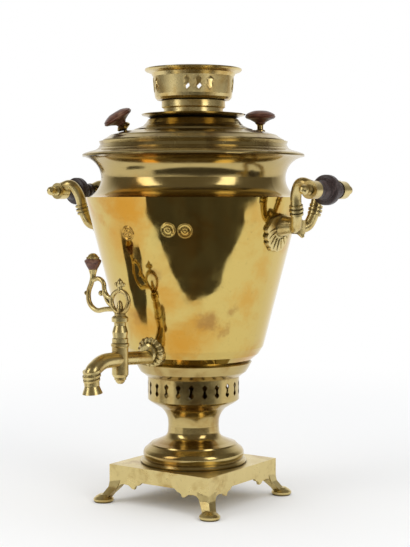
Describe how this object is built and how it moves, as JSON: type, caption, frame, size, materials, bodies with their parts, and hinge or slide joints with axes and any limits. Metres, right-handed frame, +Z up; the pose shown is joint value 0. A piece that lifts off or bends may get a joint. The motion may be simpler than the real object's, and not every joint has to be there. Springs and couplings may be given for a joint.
{
  "type": "samovar",
  "caption": "Charcoal samovar: tapered brass body on a pedestal and square footed base, with lift-off lid and crown, side handles and a turning tap.",
  "frame": {"origin": "on the vertical axis of the body, at the floor plane that the four feet stand on", "axes": "+Z up along the body's axis, the tap points towards -Y, the two handles are at -X and +X"},
  "size_m": [0.3784, 0.3161, 0.49],
  "materials": {
    "brass_polished": "polished, lightly tarnished",
    "brass_cast": "satin cast",
    "brass_dull": "dull patina",
    "iron": "sooty cast",
    "wood_dark": "dark turned and lacquered",
    "wood_red": "red-brown turned and lacquered"
  },
  "bodies": {
    "samovar": {"plinth": "brass_cast", "pedestal_foot_ring": "brass_polished", "pedestal_neck": "brass_polished", "air_band": "brass_polished", "base_saucer": "brass_polished", "body_shell": "brass_polished", "body_floor": "brass_dull", "body_rim_ring": "brass_dull", "fire_tube": "brass_dull", "fire_grate": "iron", "tap_rosette": "brass_cast", "tap_body": "brass_cast", "tap_back_nut": "brass_dull", "handle_bracket_left": "brass_cast", "handle_bracket_right": "brass_cast", "handle_grip_left": "wood_dark", "handle_grip_right": "wood_dark", "handle_rod_left": "brass_dull", "handle_rod_right": "brass_dull", "handle_ball_nuts": "brass_cast", "handle_screws": "brass_dull"},
    "lid": {"lid_shell": "brass_dull", "lid_knob_left": "wood_red", "lid_knob_right": "wood_red", "lid_knob_post_left": "brass_polished", "lid_knob_post_right": "brass_polished", "lid_knob_nuts": "brass_dull"},
    "crown": {"drip_plate": "brass_dull", "crown_collar": "brass_polished", "crown_cup": "brass_polished"},
    "tap_plug": {"tap_plug": "brass_cast", "tap_tail_nut": "brass_cast", "tap_key": "brass_cast", "tap_key_knob": "wood_red", "tap_key_cap": "brass_cast"}
  },
  "joints": [
    {"name": "tap_turn", "type": "hinge", "parent": "samovar", "child": "tap_plug", "pos_m": [0, -0.134, 0.19], "axis": [0, 0, 1], "range_deg": [0, 90]},
    {"name": "lid_lift", "type": "slide", "parent": "samovar", "child": "lid", "axis": [0, 0, 1], "range_m": [0, 0.1]},
    {"name": "crown_lift", "type": "slide", "parent": "lid", "child": "crown", "axis": [0, 0, 1], "range_m": [0, 0.06]}
  ]
}
